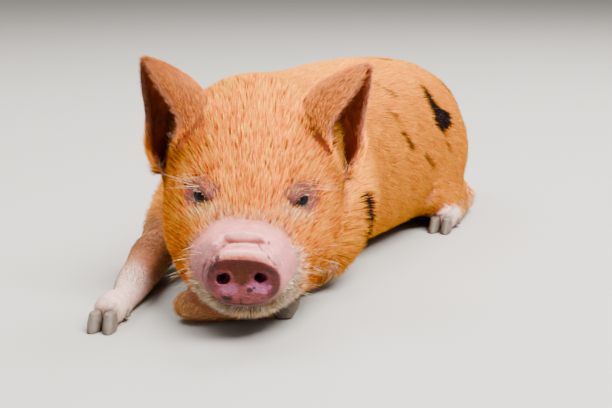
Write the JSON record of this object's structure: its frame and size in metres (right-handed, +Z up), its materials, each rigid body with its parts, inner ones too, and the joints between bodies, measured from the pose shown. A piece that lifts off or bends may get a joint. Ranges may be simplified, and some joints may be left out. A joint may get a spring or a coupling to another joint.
{
  "type": "kunekune piglet lying down",
  "caption": "Life-size still model of a young ginger kunekune piglet with black spots, lying on its belly with its head low over its forelegs.",
  "frame": {"origin": "middle of the whole piglet's footprint, on the floor", "axes": "+Y from snout to rump along the spine, +X to the piglet's own left, +Z up"},
  "size_m": [0.1462, 0.425, 0.1295],
  "materials": {
    "coat": "short ginger hair over pink skin, with a few black spots and a white muzzle and right forefoot",
    "snout_skin": "bare moist mauve-pink skin, dark brown toward the top of the disc",
    "eye": "wet, dark brown",
    "horn": "dull horn, grey-brown"
  },
  "bodies": {
    "root": {"head": "coat", "neck": "coat", "torso": "coat", "tail": "coat", "ear_left": "coat", "ear_right": "coat", "foreleg_left_upper": "coat", "foreleg_left_lower": "coat", "foreleg_left_foot": "coat", "foreleg_right_upper": "coat", "foreleg_right_lower": "coat", "foreleg_right_foot": "coat", "hindleg_left_thigh": "coat", "hindleg_left_shank": "coat", "hindleg_left_lower": "coat", "hindleg_left_foot": "coat", "hindleg_right_thigh": "coat", "hindleg_right_shank": "coat", "hindleg_right_lower": "coat", "hindleg_right_foot": "coat", "snout": "snout_skin", "eye_left": "eye", "eye_right": "eye", "claw_foreleg_left_left": "horn", "claw_foreleg_left_right": "horn", "claw_foreleg_right_left": "horn", "claw_foreleg_right_right": "horn", "claw_hindleg_left_left": "horn", "claw_hindleg_left_right": "horn", "claw_hindleg_right_left": "horn", "claw_hindleg_right_right": "horn", "dewclaw_foreleg_left_left": "horn", "dewclaw_foreleg_left_right": "horn", "dewclaw_foreleg_right_left": "horn", "dewclaw_foreleg_right_right": "horn", "dewclaw_hindleg_left_left": "horn", "dewclaw_hindleg_left_right": "horn", "dewclaw_hindleg_right_left": "horn", "dewclaw_hindleg_right_right": "horn"}
  },
  "joints": []
}
